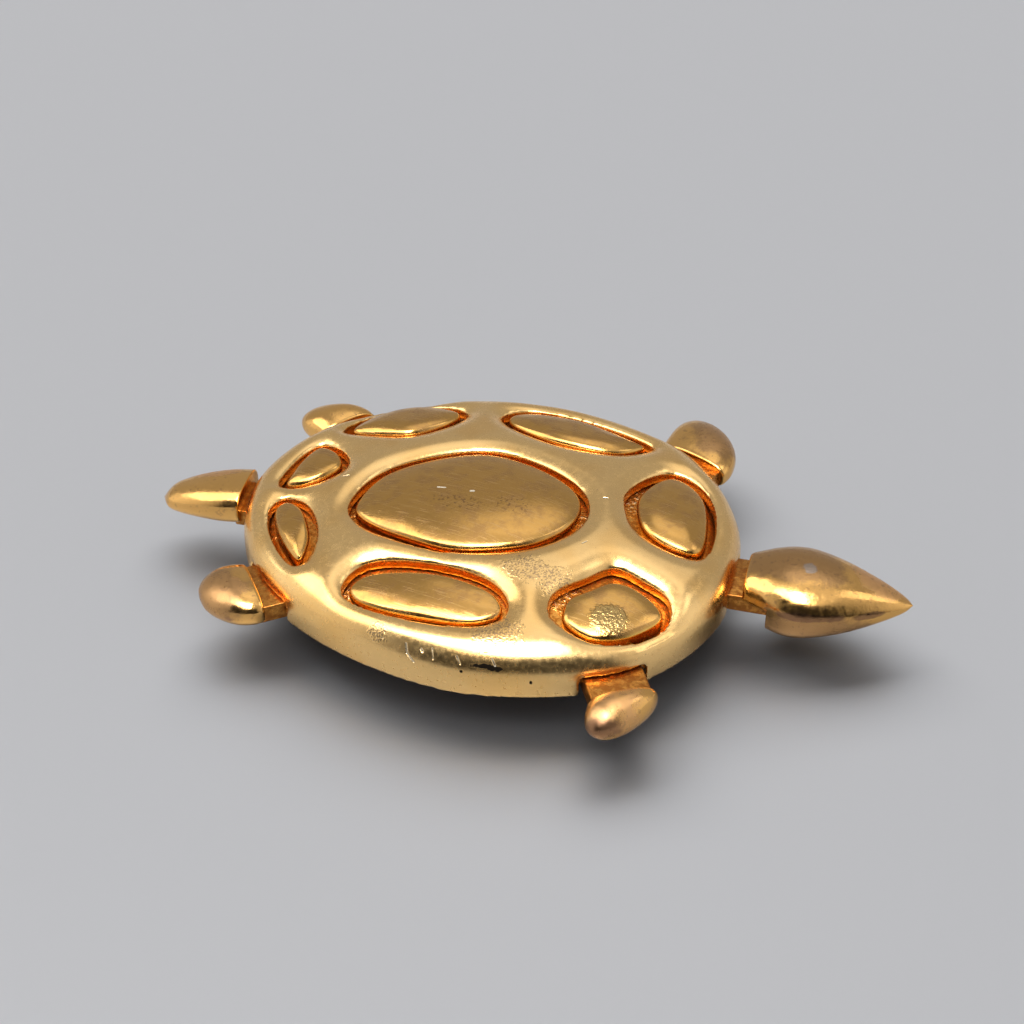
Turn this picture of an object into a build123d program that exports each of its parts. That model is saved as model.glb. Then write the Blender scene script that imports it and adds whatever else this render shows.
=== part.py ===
from build123d import *
import math
import os

# A turtle brooch lying on its pin back: a satin openwork shell over one polished casting.
# Millimetres. +X is towards the head, +Y towards the turtle's left side, +Z up.
# Z = 0 is the surface that the pin back rests on.

# Heights
rim_z = 3.0  # underside of the shell's rim, and of the casting
tab_thick = 1.4  # flat tabs that carry the head, legs and tail
dome_top_z = 8.7  # top of the shell
dome_x = -2.5  # where the dome is highest
dome_radius_long = 80.0  # crown of the dome along the body
dome_radius_wide = 48.0  # crown of the dome across the body

# Walls and clearances
shell_wall = 1.25
shell_roof = 1.4
shoulder_radius = 3.0
opening_radius = 0.5  # soft edge round each opening
gap = 0.15  # clearance between the shell and the casting
plate_wall = 1.3
scute_edge = 0.3
join = 0.5  # how far fused shapes run into each other
above = 12.0  # a height clear of the whole brooch
dome_reach = 22.0  # the dome is made this far to each side, clear of the shell
block_depth = 8.0  # depth of the blocks that cut the crowned tops
lip_probe = 0.22  # reach of the test that tells an opening's outer edge from its inner one

# Half of the shell's plan, from the head end to the tail end: x, half width
shell_plan = [
    (15.5, 0.0),
    (15.0, 4.6),
    (12.4, 9.5),
    (8.0, 13.1),
    (-1.5, 15.2),
    (-11.5, 12.8),
    (-18.2, 7.7),
    (-21.1, 0.0),
]

# The openings in the shell, each a tapered and bowed oval: x, y of its middle, long and wide
# (half sizes), turn (degrees), taper (how much the far end swells), full (2 is an ellipse, more
# is squarer) and bow (how far the oval bends, in millimetres)
openings = {
    "centre": (-3.9, -0.65, 8.6, 5.7, 9, 0.04, 1.9, -0.5),
    "near_side": (-4.6, -10.2, 5.8, 2.6, -4, 0.0, 2.4, -0.15),
    "rear_near": (-15.9, -5.6, 3.9, 1.65, -64, -0.1, 2.0, -0.25),
    "rear_far": (-16.5, 1.6, 2.75, 1.8, 62, 0.2, 2.4, 0.45),
    "far_rear": (-11.5, 8.35, 4.7, 2.4, 27, 0.05, 1.9, -0.3),
    "far_front": (1.4, 10.2, 5.8, 2.3, -9, -0.1, 2.2, 0.7),
    "front_far": (10.5, 2.7, 4.9, 3.2, -72, -0.05, 1.9, 0.8),
    "front_near": (7.8, -7.9, 4.0, 3.0, 18, 0.05, 1.9, -0.2),
}

# The scute that stands in each opening, in the same columns, then sink (how far the crown's top
# lies below the dome) and crown (its height)
scutes = {
    "centre": (-4.0, -0.5, 8.1, 5.25, 9, 0.05, 1.9, -0.45, -0.15, 0.75),
    "near_side": (-4.6, -10.25, 5.2, 1.8, -3, 0.0, 2.3, -0.15, 0.2, 0.5),
    "rear_near": (-15.9, -5.6, 3.45, 1.25, -64, -0.15, 2.0, -0.25, 0.15, 0.3),
    "rear_far": (-16.5, 1.6, 2.3, 1.35, 62, 0.2, 2.3, 0.4, 0.15, 0.3),
    "far_rear": (-11.5, 8.35, 4.3, 2.0, 27, 0.05, 1.9, -0.3, 0.1, 0.35),
    "far_front": (1.4, 10.2, 5.4, 1.9, -9, -0.1, 2.2, 0.7, 0.1, 0.35),
    "front_far": (10.6, 2.75, 4.25, 2.55, -74, 0.0, 2.0, 0.65, 0.2, 0.45),
    "front_near": (7.95, -8.0, 3.45, 2.4, 20, 0.0, 2.0, -0.25, 0.25, 0.5),
}

# Sections of the limbs, outwards from the flat back.
# out, sway, lift: middle of the section from the middle of the back; wide, high: half sizes
head_sections = [
    (0.0, 0.0, 0.0, 2.25, 1.75),
    (0.9, 0.0, 0.0, 2.7, 2.0),
    (1.9, 0.0, 0.0, 3.2, 2.25),
    (3.2, 0.0, 0.0, 3.65, 2.4),
    (4.6, 0.05, 0.0, 3.7, 2.35),
    (6.3, 0.05, 0.05, 3.3, 2.05),
    (8.0, 0.1, 0.05, 2.6, 1.65),
    (9.8, 0.15, 0.1, 1.65, 1.05),
    (11.2, 0.2, 0.1, 0.7, 0.45),
    (11.8, 0.2, 0.15, 0.0, 0.0),
]
tail_sections = [
    (0.0, 0.0, 0.0, 2.3, 1.5),
    (1.6, 0.05, -0.2, 2.3, 1.48),
    (3.3, 0.1, -0.45, 2.05, 1.35),
    (4.9, 0.15, -0.75, 1.65, 1.1),
    (6.05, 0.2, -1.0, 1.1, 0.75),
    (6.75, 0.25, -1.2, 0.0, 0.0),
]
flipper_sections = [
    (0.0, 0.0, 0.0, 2.4, 1.2),
    (0.7, 0.1, 0.0, 2.5, 1.35),
    (1.6, 0.35, 0.0, 2.4, 1.4),
    (2.4, 0.65, -0.05, 2.05, 1.25),
    (3.05, 0.9, -0.1, 1.5, 0.95),
    (3.45, 1.1, -0.15, 0.85, 0.55),
    (3.6, 1.2, -0.15, 0.0, 0.0),
]

# Where each limb's flat back stands: x, y, z of its middle, its heading in degrees, the factors on
# its sway (negative sways to the right of the heading), length and width, and the tab's half width
limbs = {
    "head": (16.3, 0.0, 4.05, 0, 1.0, 1.0, 1.0, 2.1, head_sections),
    "tail": (-21.35, 0.0, 4.45, 180, 1.0, 1.0, 1.0, 2.0, tail_sections),
    "near_front_leg": (9.95, -13.5, 3.9, -62, -1.45, 0.91, 1.0, 2.4, flipper_sections),
    "far_front_leg": (10.4, 13.35, 3.9, 67, 1.5, 1.15, 1.2, 2.4, flipper_sections),
    "near_hind_leg": (-17.4, -9.65, 3.9, -144, -0.75, 1.06, 1.13, 2.4, flipper_sections),
    "far_hind_leg": (-16.7, 10.35, 3.9, 139, 1.3, 1.02, 0.95, 2.3, flipper_sections),
}
tab_reach = 4.4  # how far a tab runs inwards from the back of its limb
notch_side = 0.2  # clearance of a notch in the rim round its tab

# Pin back: a bar soldered across the hollow back, with a hinge block, a stem and a catch
bar_rear_x = -19.3
bar_front_x = 13.6
bar_width = 3.2
bar_thick = 0.8
bar_end_radius = 1.4
solder_gap = 0.05
hinge_x = 8.0
catch_x = -13.5
foot_width = 6.0  # the hinge and the catch are as wide as this, and the brooch lies on them
foot_length = 3.2
foot_corner = 0.6
stem_radius = 0.45
stem_z = 1.1
stem_point = 2.5  # tapered length of the stem's end
stem_past_catch = 3.6
catch_mouth = 1.3  # height of the slot that the stem lies in
catch_lip = 1.2  # how far the slot runs past the stem


def dome_z(x, y):
    # Height of the shell's dome over a place in plan
    return dome_top_z - (x - dome_x) ** 2 / (2 * dome_radius_long) - y**2 / (2 * dome_radius_wide)


def crowned_block(radius_long, radius_wide, reach_long, reach_wide):
    # A block whose crowned top bends along X and Y, with the middle of its top at the origin
    edge_z = math.sqrt(radius_wide**2 - reach_wide**2) - radius_wide
    crown = ThreePointArc((0, -reach_wide, edge_z), (0, 0, 0), (0, reach_wide, edge_z))
    frame = Polyline(
        (0, reach_wide, edge_z),
        (0, reach_wide, -block_depth),
        (0, -reach_wide, -block_depth),
        (0, -reach_wide, edge_z),
    )
    face = Face(Wire([*crown.edges(), *frame.edges()]))
    half_sweep = math.degrees(math.asin(reach_long / radius_long))
    turning = Axis((0, 0, -radius_long), (0, 1, 0))
    return revolve(face.rotate(turning, -half_sweep), turning, 2 * half_sweep)


def under_dome(drop):
    # All that lies under the dome, lowered by drop along its normals
    block = crowned_block(dome_radius_long - drop, dome_radius_wide - drop, dome_reach, dome_reach)
    return Pos(dome_x, 0, dome_top_z - drop) * block


def shell_outline(inset):
    # The shell's plan, moved inwards by inset
    left = [(x, y) for x, y in shell_plan]
    right = [(x, -y) for x, y in reversed(shell_plan[1:-1])]
    outline = Edge.make_spline([Vector(x, y, 0) for x, y in left + right], periodic=True)
    if inset == 0:
        return outline
    count = 36
    points = []
    for i in range(count):
        place = outline.position_at(i / count)
        along = outline.tangent_at(i / count)
        points.append(place + Vector(-along.Y, along.X, 0) * inset)
    return Edge.make_spline(points, periodic=True)


def oval(x, y, long, wide, turn, taper, full, bow):
    # A tapered, bowed oval as a closed smooth curve, which starts on the side of the shell's middle
    count = 20
    start = math.atan2(-y, dome_x - x) - math.radians(turn)
    points = []
    for i in range(count):
        angle = start + 2 * math.pi * i / count
        u = math.copysign(abs(math.cos(angle)) ** (2 / full), math.cos(angle))
        v = math.copysign(abs(math.sin(angle)) ** (2 / full), math.sin(angle))
        across = wide * v * (1 + taper * u) + bow * (u * u - 0.5)
        points.append(Vector(long * u, across, 0))
    curve = Edge.make_spline(points, periodic=True)
    return Pos(x, y, 0) * Rot(0, 0, turn) * curve


def prism(curve, low, high):
    # A closed plan curve extruded between two heights
    face = Pos(0, 0, low) * Face(Wire([curve]))
    return extrude(face, high - low, dir=(0, 0, 1))


def top_edges(solid, low):
    # The curved edges of a solid above a height
    return [e for e in solid.edges() if e.geom_type != GeomType.LINE and e.center().Z > low]


def domed_block(inset, drop, low, radius):
    # The shell's plan as a block with a domed top and a soft shoulder
    block = prism(shell_outline(inset), low, above) & under_dome(drop)
    return fillet(top_edges(block, rim_z + 0.5), radius)


def limb_frame(name):
    # Frame at a limb's flat back: X outwards, Y to the left, Z up
    x, y, z, heading = limbs[name][:4]
    return Pos(x, y, z) * Rot(0, 0, heading)


def limb_block(name, side, low, high):
    # A flat block under a limb, from inside the body to just inside the limb's back
    z, tab_half = limbs[name][2], limbs[name][7]
    width = 2 * (tab_half + side)
    length = tab_reach + join
    block = Box(length, width, high - low)
    return limb_frame(name) * Pos(join - length / 2, 0, (low + high) / 2 - z) * block


def limb_bulb(name):
    # A limb lofted through elliptical sections from its flat back to its tip
    sway_factor, long_factor, wide_factor = limbs[name][4:7]
    profiles = []
    for out, sway, lift, wide, high in limbs[name][8]:
        middle = (out * long_factor, sway * sway_factor, lift)
        if wide == 0:
            profiles.append(Vertex(*middle))
        else:
            plane = Plane(origin=middle, x_dir=(0, 1, 0), z_dir=(1, 0, 0))
            profiles.append(plane * Ellipse(wide * wide_factor, high).face())
    return limb_frame(name) * loft(profiles)


def lip_edges(solid, row):
    # The outer edges of a fresh opening: those with no metal just above and beside them
    x, y = row[:2]
    curve = oval(*row)
    found = []
    for edge in top_edges(solid, rim_z + 0.6):
        place = edge.position_at(0.5)
        outwards = Vector(place.X - x, place.Y - y, 0).normalized() * lip_probe
        over = place + outwards + Vector(0, 0, lip_probe)
        on_curve = curve.distance_to(Vertex(place.X, place.Y, 0)) < 0.02
        if on_curve and not solid.solid().is_inside(over):
            found.append(edge)
    return found


def make_shell():
    shell = domed_block(0, 0, rim_z, shoulder_radius)
    shell -= domed_block(shell_wall, shell_roof, rim_z - 1, shoulder_radius - shell_wall)
    for row in openings.values():
        shell -= prism(oval(*row), rim_z - 1, above)
        shell = fillet(lip_edges(shell, row), opening_radius)
    for name in limbs:
        shell -= limb_block(name, notch_side, rim_z - 1, rim_z + tab_thick + gap)
    return shell


def make_scute(row):
    # A scute's column with a crowned top, square to the dome, and a rounded edge
    x, y, long, wide, turn, taper, full, bow, sink, crown = row
    column = prism(oval(x, y, long, wide, turn, taper, full, bow), rim_z + 1, above)
    radius_long = long**2 / (2 * crown)
    radius_wide = wide**2 / (2 * crown)
    reach_wide = min(1.4 * wide, 0.97 * radius_wide)
    block = crowned_block(radius_long, radius_wide, 1.3 * long, reach_wide)
    normal = Vector((x - dome_x) / dome_radius_long, y / dome_radius_wide, 1)
    heading = Vector(math.cos(math.radians(turn)), math.sin(math.radians(turn)), 0)
    side = normal.cross(heading)
    top = Plane(origin=(x, y, dome_z(x, y) - sink), x_dir=side.cross(normal), z_dir=normal)
    lid = column & (top * block)
    return fillet(top_edges(lid, rim_z + 1.5), scute_edge)


def make_casting():
    inset = shell_wall + gap
    drop = shell_roof + gap
    radius = shoulder_radius - inset
    casting = domed_block(inset, drop, rim_z, radius)
    for name in limbs:
        casting += limb_block(name, 0, rim_z, rim_z + tab_thick)
        casting += limb_bulb(name)
    casting -= domed_block(inset + plate_wall, drop + plate_wall, rim_z - 1, 0.4)
    for row in scutes.values():
        casting += make_scute(row) - under_dome(drop + join)
    return casting


def foot(x, height):
    # A block under the bar with rounded corners
    block = Pos(x, 0, height / 2) * Box(foot_length, foot_width, height)
    return fillet(block.edges().filter_by(Axis.Z), foot_corner)


def make_pin_back():
    bar_low = rim_z - solder_gap - bar_thick
    length = bar_front_x - bar_rear_x
    bar = Pos((bar_rear_x + bar_front_x) / 2, 0, bar_low + bar_thick / 2) * Box(length, bar_width, bar_thick)
    bar = fillet(bar.edges().filter_by(Axis.Z), bar_end_radius)
    slot_width = foot_width / 2 + catch_lip
    slot = Pos(catch_x, slot_width / 2 - catch_lip, stem_z) * Box(foot_length + 1, slot_width, catch_mouth)
    catch = foot(catch_x, bar_low) - slot
    tip_x = catch_x - stem_past_catch
    shaft = hinge_x - tip_x - stem_point
    stem = Pos(hinge_x - shaft / 2, 0, stem_z) * Rot(0, 90, 0) * Cylinder(stem_radius, shaft)
    point = Pos(tip_x + stem_point / 2, 0, stem_z) * Rot(0, -90, 0) * Cone(stem_radius, 0.08, stem_point)
    return bar + foot(hinge_x, bar_low) + catch + stem + point


parts = {
    "shell": make_shell,
    "casting": make_casting,
    "pin_back": make_pin_back,
}

os.makedirs("parts", exist_ok=True)
for name, make in parts.items():
    solid = make()
    export_step(solid, f"parts/{name}.step")
    print(name, "volume", round(solid.volume, 1), "solids", len(solid.solids()))
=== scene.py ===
import bpy
import math
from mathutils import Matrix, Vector
from mathutils.kdtree import KDTree


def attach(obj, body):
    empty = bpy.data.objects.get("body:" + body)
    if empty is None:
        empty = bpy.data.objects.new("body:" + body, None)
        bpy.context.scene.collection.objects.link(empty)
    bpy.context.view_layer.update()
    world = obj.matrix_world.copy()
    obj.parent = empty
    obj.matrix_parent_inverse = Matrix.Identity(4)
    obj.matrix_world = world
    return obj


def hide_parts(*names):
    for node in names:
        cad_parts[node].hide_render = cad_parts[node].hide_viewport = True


# Turtle brooch: satin openwork shell over a polished casting, lying on its pin back.
# Plan sizes below are in millimetres, +X to the head, +Y to the turtle's left; mm makes them metres.
mm = 0.001

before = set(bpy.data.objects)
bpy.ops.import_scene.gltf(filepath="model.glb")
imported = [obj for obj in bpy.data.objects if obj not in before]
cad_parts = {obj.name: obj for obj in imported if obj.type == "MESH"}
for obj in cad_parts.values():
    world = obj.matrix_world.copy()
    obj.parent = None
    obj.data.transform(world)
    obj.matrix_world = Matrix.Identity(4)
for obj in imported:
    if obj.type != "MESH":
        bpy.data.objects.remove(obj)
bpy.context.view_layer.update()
print("frame loaded")

# Camera, at the photo's angle
photoCamera = {
    "azimuth": 14.4,  # degrees round from the turtle's right side towards its head
    "elevation": 39.0,
    "distance": 155 * mm,
    "lookAt": (-1.911 * mm, 3.57 * mm, 4.0 * mm),
    "lens": 73.2,
    "sensor": 36.0,
    "nearest": 5 * mm,
}


def placeCamera():
    azimuth = math.radians(photoCamera["azimuth"])
    elevation = math.radians(photoCamera["elevation"])
    flat = math.cos(elevation)
    back = Vector((math.sin(azimuth) * flat, -math.cos(azimuth) * flat, math.sin(elevation)))
    target = Vector(photoCamera["lookAt"])
    bpy.ops.object.camera_add(location=target + back * photoCamera["distance"])
    camera = bpy.context.active_object
    camera.name = "photoCamera"
    camera.rotation_euler = back.to_track_quat("Z", "Y").to_euler()
    camera.data.lens = photoCamera["lens"]
    camera.data.sensor_width = photoCamera["sensor"]
    camera.data.clip_start = photoCamera["nearest"]
    camera.data.dof.use_dof = False
    bpy.context.scene.camera = camera


placeCamera()

# Floor and light
floorLook = {
    "size": 1.6,
    "colour": (0.75, 0.753, 0.775, 1),
    "sheen": 0.1,  # how much of the table's light is a blurred reflection
    "roughness": 0.45,
    "behind": 0.2,  # how far its middle lies behind the brooch
}

# Windows: where they are, how far, their size in metres, their brightness and what they light
studioLights = {
    "overheadWindow": {"direction": (-4, 64), "distance": 0.6, "size": (0.18, 0.37), "brightness": 12.0,
                       "lights": "metal"},
    "sideWindow": {"direction": (-47, 64), "distance": 0.6, "size": (0.26, 0.30), "brightness": 5.2,
                   "lights": "metal"},
    "leftWindow": {"direction": (-92, 48), "distance": 0.6, "size": (0.42, 0.38), "brightness": 2.1,
                   "lights": "metal"},
    "rightWindow": {"direction": (94, 51), "distance": 0.6, "size": (0.22, 0.20), "brightness": 1.2,
                    "lights": "metal"},
    "tableLight": {"direction": (-168, 48), "distance": 2.0, "size": (3.0, 1.3), "brightness": 3.05,
                   "lights": "table"},
}

# Soft patches of the room: where they are, the angles where they start and end, and their brightness
roomPatches = {
    "ceiling": {"direction": (10, 78), "inner": 14, "outer": 42, "strength": 0.5},
    "backSkylight": {"direction": (162, 60), "inner": 6, "outer": 20, "strength": 0.62},
    "leftWall": {"direction": (-82, 10), "inner": 12, "outer": 42, "strength": 0.65},
    "rightWall": {"direction": (70, 18), "inner": 10, "outer": 40, "strength": 0.6},
}
roomLook = {
    "far": 0.40,  # brightness of the room behind the brooch
    "near": 0.03,  # and on the camera's side
    "fade": (-0.2, 0.7),  # where it goes from one to the other, as the cosine to the camera's side
    "tint": (1.0, 1.0, 1.02, 1),
    "onTable": 0.1,  # the share of it that lights the table
}


def clearSelection():
    bpy.ops.object.select_all(action="DESELECT")


def select(piece):
    clearSelection()
    piece.select_set(True)
    bpy.context.view_layer.objects.active = piece


def editAll(piece):
    select(piece)
    bpy.ops.object.mode_set(mode="EDIT")
    bpy.ops.mesh.select_all(action="SELECT")


def nodeOf(tree, kind, **values):
    # Adds a node and sets its named values
    node = tree.nodes.new(kind)
    for key, value in values.items():
        setattr(node, key, value)
    return node


def link(tree, source, target):
    tree.links.new(source, target)


def feed(tree, value, socket):
    # Links another node's output to a socket, or sets a plain value on it
    if isinstance(value, bpy.types.NodeSocket):
        link(tree, value, socket)
    else:
        socket.default_value = value


def mathNode(tree, operation, *values):
    node = nodeOf(tree, "ShaderNodeMath", operation=operation)
    for i, value in enumerate(values):
        feed(tree, value, node.inputs[i])
    return node.outputs["Value"]


def vectorNode(tree, operation, *values):
    # Gives back a value for DOT_PRODUCT and LENGTH, and a vector for the others
    node = nodeOf(tree, "ShaderNodeVectorMath", operation=operation)
    for i, value in enumerate(values):
        socket = node.inputs["Scale"] if operation == "SCALE" and i == 1 else node.inputs[i]
        feed(tree, value, socket)
    return node.outputs["Value" if operation in ("DOT_PRODUCT", "LENGTH") else "Vector"]


def times(tree, value, factor):
    return mathNode(tree, "MULTIPLY", value, factor)


def plus(tree, *values):
    total = values[0]
    for value in values[1:]:
        total = mathNode(tree, "ADD", total, value)
    return total


def softStep(tree, value, low, high, least=0.0, most=1.0):
    node = nodeOf(tree, "ShaderNodeMapRange", interpolation_type="SMOOTHSTEP")
    limits = {"From Min": low, "From Max": high, "To Min": least, "To Max": most}
    for label, limit in limits.items():
        node.inputs[label].default_value = limit
    link(tree, value, node.inputs["Value"])
    return node.outputs["Result"]


def newMaterial(name):
    material = bpy.data.materials.new(name)
    material.use_nodes = True
    tree = material.node_tree
    return material, tree, tree.nodes["Principled BSDF"]


def makeFloor():
    clearSelection()
    bpy.ops.mesh.primitive_plane_add(size=floorLook["size"], location=(0, floorLook["behind"], 0))
    floor = bpy.context.active_object
    floor.name = "floor"
    material, tree, shader = newMaterial("paleTable")
    shader.inputs["Base Color"].default_value = floorLook["colour"]
    shader.inputs["Metallic"].default_value = floorLook["sheen"]
    shader.inputs["Roughness"].default_value = floorLook["roughness"]
    floor.data.materials.append(material)


def towards(azimuth, elevation):
    # Unit vector; azimuth is measured from the camera's side, positive to the picture's right
    turn = math.radians(photoCamera["azimuth"] + azimuth)
    flat = math.cos(math.radians(elevation))
    return Vector((math.sin(turn) * flat, -math.cos(turn) * flat, math.sin(math.radians(elevation))))


def addLights():
    for name, light in studioLights.items():
        way = towards(*light["direction"])
        bpy.ops.object.light_add(type="AREA", location=way * light["distance"])
        lamp = bpy.context.active_object
        lamp.name = name
        lamp.rotation_euler = way.to_track_quat("Z", "Y").to_euler()
        lamp.data.shape = "RECTANGLE"
        lamp.data.size, lamp.data.size_y = light["size"]
        lamp.data.energy = light["brightness"] * math.pi * lamp.data.size * lamp.data.size_y
        lamp.visible_glossy = light["lights"] == "metal"
        lamp.visible_diffuse = light["lights"] == "table"


def makeWorld():
    world = bpy.data.worlds.new("studio")
    bpy.context.scene.world = world
    world.use_nodes = True
    tree = world.node_tree
    tree.nodes.clear()
    out = tree.nodes.new("ShaderNodeOutputWorld")
    room = tree.nodes.new("ShaderNodeBackground")
    room.inputs["Color"].default_value = roomLook["tint"]
    direction = tree.nodes.new("ShaderNodeTexCoord").outputs["Generated"]
    nearness = vectorNode(tree, "DOT_PRODUCT", direction, towards(0, 0))
    total = softStep(tree, nearness, *roomLook["fade"], roomLook["far"], roomLook["near"])
    for patch in roomPatches.values():
        across = vectorNode(tree, "DOT_PRODUCT", direction, towards(*patch["direction"]))
        outer = math.cos(math.radians(patch["outer"]))
        inner = math.cos(math.radians(patch["inner"]))
        total = plus(tree, total, softStep(tree, across, outer, inner, 0, patch["strength"]))
    onTable = tree.nodes.new("ShaderNodeLightPath").outputs["Is Diffuse Ray"]
    share = softStep(tree, onTable, 0, 1, 1, roomLook["onTable"])
    link(tree, times(tree, total, share), room.inputs["Strength"])
    link(tree, room.outputs["Background"], out.inputs["Surface"])


makeFloor()
addLights()
makeWorld()
bpy.context.scene.view_settings.view_transform = "Standard"
bpy.context.scene.cycles.caustics_reflective = False  # keeps the shadows free of warm flecks
print("camera, floor and light placed")

# Heights and curves that the shell and the casting share
body = {
    "rimZ": 3.0,
    "domeTopZ": 8.7,
    "domeX": -2.5,
    "domeRadiusLong": 80.0,
    "domeRadiusWide": 48.0,
    "shoulder": 3.0,
    "shellWall": 1.25,
    "shellRoof": 1.4,
    "gap": 0.15,
    "plateWall": 1.3,
    "columns": 180,
    "shoulderAngles": range(0, 86, 7),
    "roofRings": 16,
    "leastInnerRadius": 0.4,
}
mergeWithin = 0.0005 * mm  # vertices nearer than this are merged
curveSteps = 24  # steps between two points of an outline

# Half of the shell's plan, from the head end to the tail end: x, half width
shellPlan = [
    (15.5, 0.0),
    (15.0, 4.6),
    (12.4, 9.5),
    (8.0, 13.1),
    (-1.5, 15.2),
    (-11.5, 12.8),
    (-18.2, 7.7),
    (-21.1, 0.0),
]

# The openings' edges in plan, x and y, anticlockwise from the tail end
openingOutlines = {
    "centre": [(-12.4, -2.4), (-11.5, -4.35), (-8.6, -5.7), (-3.9, -6.3), (0.9, -5.0), (3.8, -2.5),
               (4.55, 0.2), (3.4, 2.75), (0.0, 4.75), (-4.1, 5.4), (-8.2, 3.65), (-11.3, 1.0)],
    "nearSide": [(-10.45, -10.0), (-9.6, -11.6), (-5.9, -12.4), (-1.5, -12.35), (0.9, -11.35),
                 (1.2, -9.8), (-0.5, -8.2), (-4.3, -7.5), (-8.9, -8.0)],
    "rearNear": [(-18.25, -3.4), (-17.5, -5.7), (-15.9, -7.9), (-14.5, -8.9), (-13.7, -8.2),
                 (-13.9, -5.7), (-15.4, -3.1), (-17.3, -2.2)],
    "rearFar": [(-18.6, -0.4), (-17.2, -1.05), (-15.4, -0.3), (-14.0, 1.6), (-14.8, 3.55),
                (-16.7, 4.6), (-17.9, 3.2)],
    "farRear": [(-15.9, 6.7), (-12.9, 6.1), (-10.3, 6.45), (-8.0, 8.5), (-7.2, 10.7), (-8.6, 11.7),
                (-11.6, 11.7), (-14.7, 9.7)],
    "farFront": [(-4.6, 11.4), (-3.4, 9.4), (0.6, 7.85), (4.9, 8.2), (7.2, 10.3), (6.3, 11.4),
                 (2.0, 12.6), (-2.4, 12.95)],
    "frontFar": [(6.7, 2.8), (8.0, -0.2), (10.5, -1.55), (13.0, -1.5), (13.6, 1.0), (12.9, 4.9),
                 (11.2, 7.1), (9.0, 7.5), (7.3, 5.3)],
    "frontNear": [(3.95, -9.0), (4.6, -10.3), (7.3, -11.3), (10.1, -10.3), (12.0, -8.1), (11.6, -6.0),
                  (9.6, -5.05), (7.5, -4.6), (5.9, -6.1), (4.3, -7.7)],
}

# The scutes' edges in plan, in the same way
scuteOutlines = {
    "centre": [(-11.9, -2.6), (-10.9, -4.1), (-7.8, -5.3), (-3.6, -5.9), (0.7, -4.6), (3.2, -2.4),
               (4.0, 0.2), (3.0, 2.4), (-0.2, 4.2), (-4.1, 4.85), (-8.0, 3.2), (-10.9, 0.7)],
    "nearSide": [(-10.0, -10.25), (-8.9, -11.4), (-5.6, -11.95), (-1.6, -11.85), (0.55, -11.0),
                 (0.8, -9.85), (-0.75, -8.75), (-4.4, -8.25), (-8.6, -8.85)],
    "rearNear": [(-17.8, -3.6), (-17.0, -5.6), (-15.5, -7.5), (-14.5, -8.3), (-14.15, -7.8),
                 (-14.4, -5.9), (-15.7, -3.6), (-17.1, -2.75)],
    "rearFar": [(-18.15, -0.2), (-17.1, -0.6), (-15.6, 0.1), (-14.5, 1.6), (-15.1, 3.1),
                (-16.65, 4.0), (-17.5, 2.9)],
    "farRear": [(-15.3, 7.0), (-12.8, 6.6), (-10.5, 6.9), (-8.5, 8.7), (-7.8, 10.5), (-8.9, 11.2),
                (-11.5, 11.1), (-14.2, 9.3)],
    "farFront": [(-4.0, 11.3), (-3.1, 9.8), (0.7, 8.35), (4.7, 8.7), (6.5, 10.3), (5.9, 10.95),
                 (1.9, 12.1), (-2.2, 12.4)],
    "frontFar": [(7.6, 2.9), (8.5, 0.3), (10.5, -0.85), (12.6, -0.8), (13.1, 1.0), (12.4, 4.7),
                 (10.9, 6.6), (9.3, 6.9), (8.1, 5.1)],
    "frontNear": [(4.9, -8.9), (5.3, -10.1), (7.3, -10.8), (9.6, -9.9), (11.5, -7.8), (11.0, -6.6),
                  (9.2, -5.7), (7.6, -5.75), (6.3, -6.9), (5.2, -7.9)],
}

# Each scute's crown: how far its top lies below the dome, the drop to its near and its far edge,
# and how sharply the crown bends down near the edge
scuteCrowns = {
    "centre": {"sink": -0.1, "near": 0.56, "far": 0.5, "fall": 4.0},
    "nearSide": {"sink": 0.4, "near": 0.36, "far": 0.2, "fall": 2.6},
    "rearNear": {"sink": 0.1, "near": 0.36, "far": 0.3, "fall": 2.6},
    "rearFar": {"sink": 0.1, "near": 0.55, "far": 0.2, "fall": 3.4},
    "farRear": {"sink": 0.05, "near": 0.62, "far": 0.25, "fall": 3.6},
    "farFront": {"sink": 0.05, "near": 0.62, "far": 0.2, "fall": 3.6},
    "frontFar": {"sink": 0.1, "near": 0.62, "far": 0.35, "fall": 3.6},
    "frontNear": {"sink": 0.38, "near": 0.42, "far": 0.3, "fall": 3.0},
}


def domeZ(x, y):
    # Height of the shell's dome over a place in plan
    along = (x - body["domeX"]) ** 2 / (2 * body["domeRadiusLong"])
    return body["domeTopZ"] - along - y * y / (2 * body["domeRadiusWide"])


def smoothBetween(before, here, after, beyond, part):
    # A place on the smooth curve through four values, this part of the way from here to after
    bend = (2 * before - 5 * here + 4 * after - beyond) * part * part
    bend += (3 * here - before - 3 * after + beyond) * part ** 3
    return here + 0.5 * ((after - before) * part + bend)


def closedCurve(points, count):
    # Evenly spaced places on a smooth closed curve through the points
    fine = []
    size = len(points)
    for i in range(size):
        four = [Vector(points[(i + k - 1) % size]) for k in range(4)]
        for j in range(curveSteps):
            fine.append(smoothBetween(*four, j / curveSteps))
    lengths = [0.0]
    for i in range(len(fine)):
        lengths.append(lengths[-1] + (fine[(i + 1) % len(fine)] - fine[i]).length)
    places = []
    k = 0
    for i in range(count):
        goal = lengths[-1] * i / count
        while lengths[k + 1] < goal:
            k += 1
        part = (goal - lengths[k]) / (lengths[k + 1] - lengths[k])
        places.append(fine[k].lerp(fine[(k + 1) % len(fine)], part))
    return places


def inwardNormals(places):
    # For a curve that runs anticlockwise
    normals = []
    for i in range(len(places)):
        along = (places[(i + 1) % len(places)] - places[i - 1]).normalized()
        normals.append(Vector((-along.y, along.x)))
    return normals


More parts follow.
